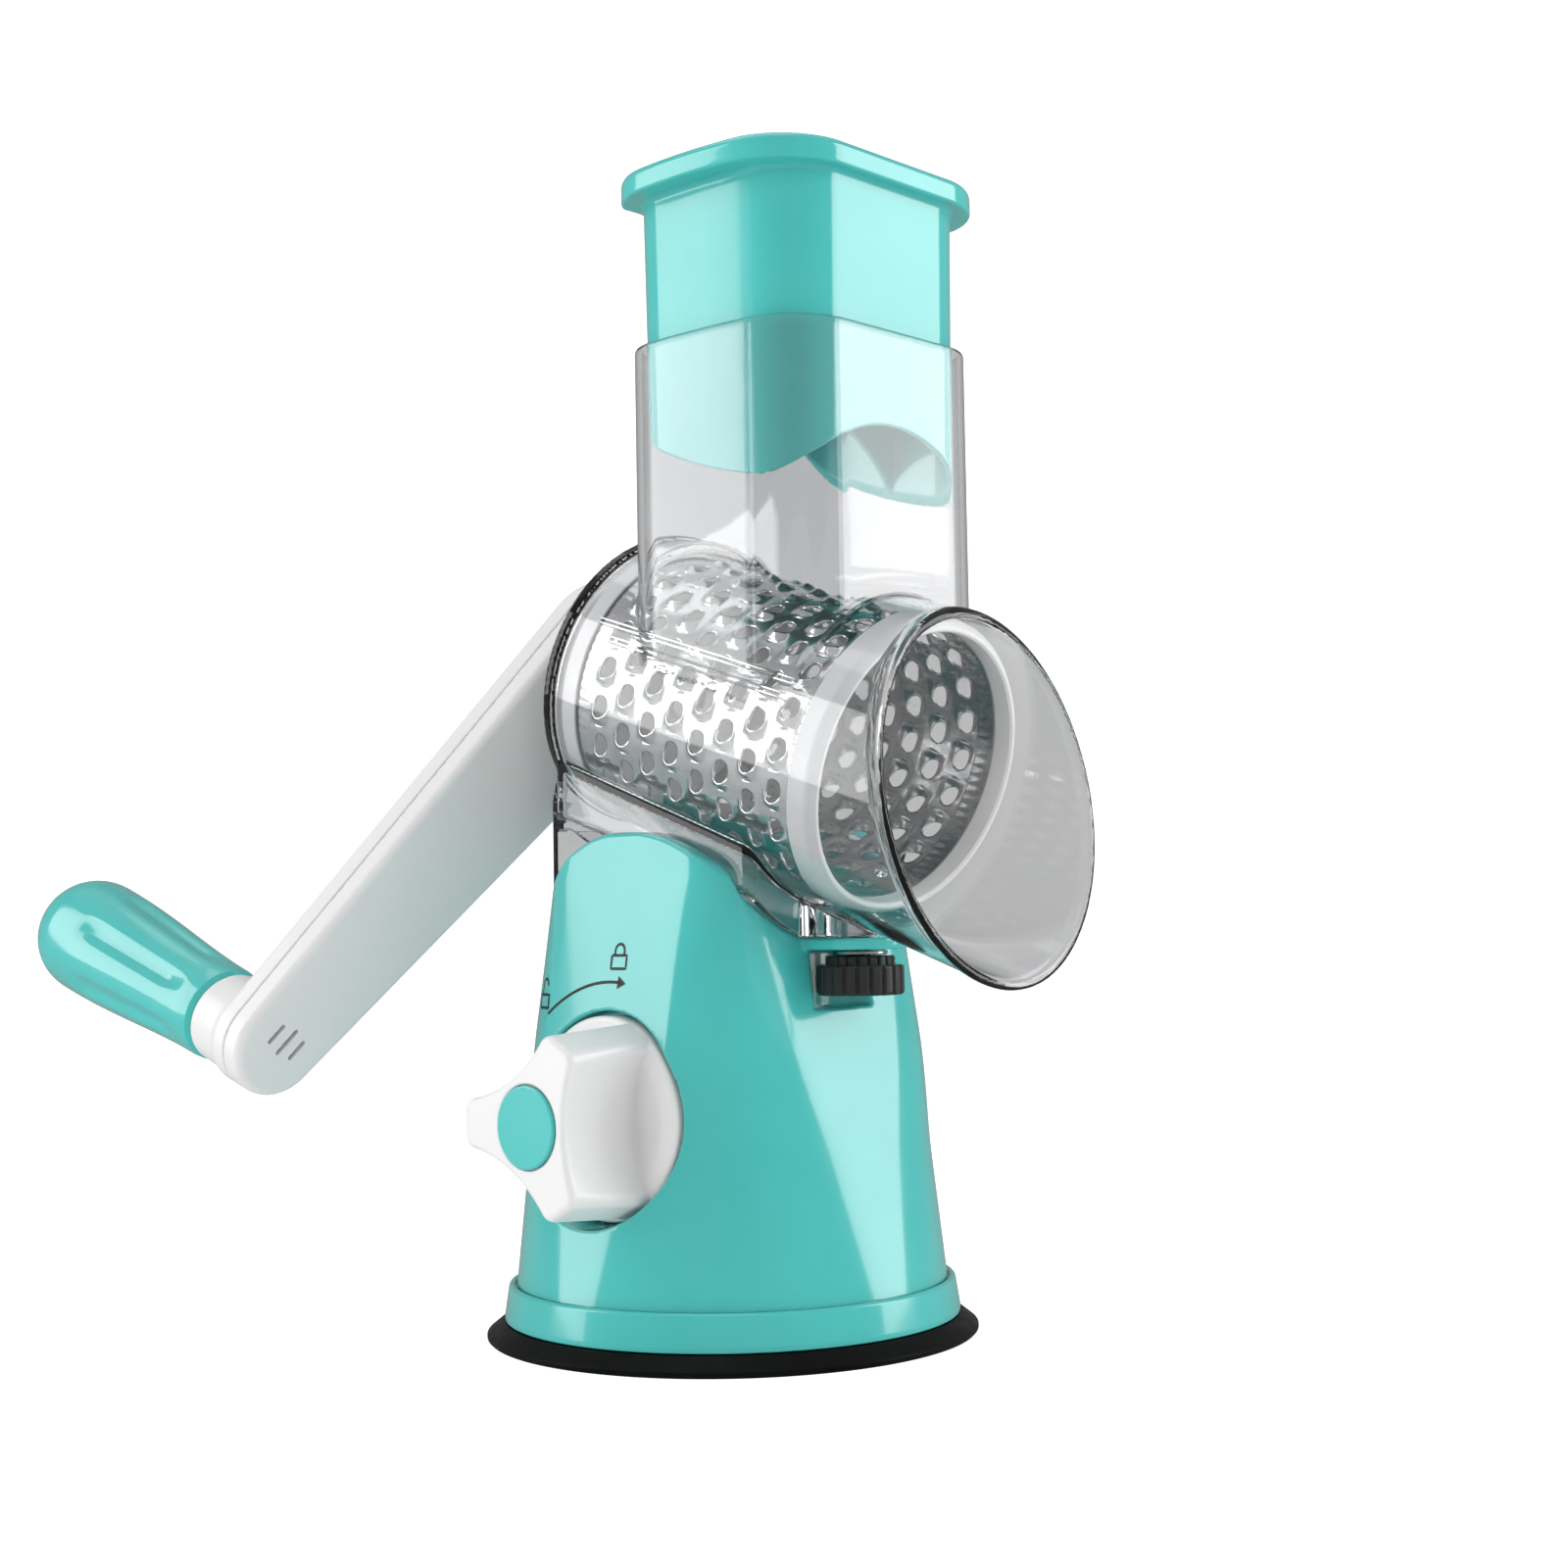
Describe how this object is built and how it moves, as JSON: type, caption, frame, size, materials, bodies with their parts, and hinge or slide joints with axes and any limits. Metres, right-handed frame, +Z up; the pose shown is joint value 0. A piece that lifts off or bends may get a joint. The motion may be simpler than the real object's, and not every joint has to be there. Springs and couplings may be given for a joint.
{
  "type": "rotary cheese grater",
  "caption": "Hand-cranked drum grater on a suction base: a clear feed chute with a pusher stands over a tilted, perforated drum with an open mouth.",
  "frame": {"origin": "centre of the suction pad's underside, on the worktop", "axes": "+Z up, +X towards the side where the drum's mouth opens, -Y towards the suction knob's side"},
  "size_m": [0.2729, 0.1724, 0.2996],
  "materials": {
    "teal_plastic": "smooth moulded, gloss",
    "white_plastic": "smooth moulded, satin gloss",
    "clear_plastic": "clear moulded plastic",
    "black_rubber": "smooth rubber",
    "black_plastic": "matte moulded",
    "grey_plastic": "matte moulded, inside",
    "drum_steel": "punched stainless sheet",
    "shaft_steel": "turned and plated"
  },
  "bodies": {
    "base": {"base_shell": "teal_plastic", "bottom_plate": "teal_plastic", "base_screw_1": "shaft_steel", "base_screw_2": "shaft_steel", "base_screw_3": "shaft_steel", "base_screw_4": "shaft_steel", "suction_pad": "black_rubber", "mechanism_bracket": "grey_plastic", "bracket_screw_1": "shaft_steel", "bracket_screw_2": "shaft_steel", "bracket_screw_3": "shaft_steel", "bracket_screw_4": "shaft_steel", "knob_bush": "grey_plastic", "housing": "clear_plastic", "rear_bush": "white_plastic", "clamp_insert": "shaft_steel"},
    "crank": {"arm_front": "white_plastic", "arm_rear": "white_plastic", "arm_screw_1": "shaft_steel", "arm_screw_2": "shaft_steel", "drive_shaft": "shaft_steel", "shaft_screw": "shaft_steel", "grip_axle": "shaft_steel", "grip_collar": "shaft_steel"},
    "grip": {"grip": "teal_plastic"},
    "drum": {"drum_shell": "drum_steel", "drum_front_ring": "white_plastic", "drum_rear_hub": "white_plastic"},
    "pusher": {"pusher": "teal_plastic"},
    "knob": {"knob": "white_plastic", "knob_cap": "teal_plastic", "knob_screw": "shaft_steel", "knob_shaft": "shaft_steel", "cam": "grey_plastic"},
    "plunger": {"pull_rod": "white_plastic", "pad_button": "grey_plastic", "spring_seat": "shaft_steel", "return_spring": "shaft_steel"},
    "clamp_washer": {"clamp_washer": "shaft_steel"},
    "clamp_screw": {"clamp_knob": "black_plastic", "clamp_stud": "shaft_steel"}
  },
  "joints": [
    {"name": "crank_turn", "type": "hinge", "parent": "base", "child": "crank", "pos_m": [0.0675, 0, 0.1444], "axis": [0.9505, 0, -0.3107], "continuous": true},
    {"name": "drum_withdraw", "type": "slide", "parent": "crank", "child": "drum", "axis": [0.9505, 0, -0.3107], "range_m": [0, 0.12]},
    {"name": "grip_spin", "type": "hinge", "parent": "crank", "child": "grip", "pos_m": [-0.0961, -0.09145, 0.08483], "axis": [0.9505, 0, -0.3107], "continuous": true},
    {"name": "pusher_slide", "type": "slide", "parent": "base", "child": "pusher", "axis": [0, 0, 1], "range_m": [-0.037, 0.053]},
    {"name": "knob_turn", "type": "hinge", "parent": "base", "child": "knob", "pos_m": [0, 0, 0.0589], "axis": [0, 1, 0], "range_deg": [0, 90]},
    {"name": "plunger_lift", "type": "slide", "parent": "base", "child": "plunger", "axis": [0, 0, 1], "range_m": [0, 0.003], "stiffness_N_per_m": 10, "deforming": ["return_spring"]},
    {"name": "clamp_drop", "type": "slide", "parent": "base", "child": "clamp_washer", "axis": [0, 0, -1], "range_m": [0, 0.003]},
    {"name": "clamp_turn", "type": "hinge", "parent": "clamp_washer", "child": "clamp_screw", "pos_m": [0.0465, 0, 0.0963], "axis": [0, 0, -1], "range_deg": [0, 720]}
  ],
  "couplings": [
    {"joint": "plunger_lift", "follows": "knob_turn", "m_per_rad": 0.0019},
    {"joint": "clamp_drop", "follows": "clamp_turn", "m_per_rad": 0.000238}
  ]
}
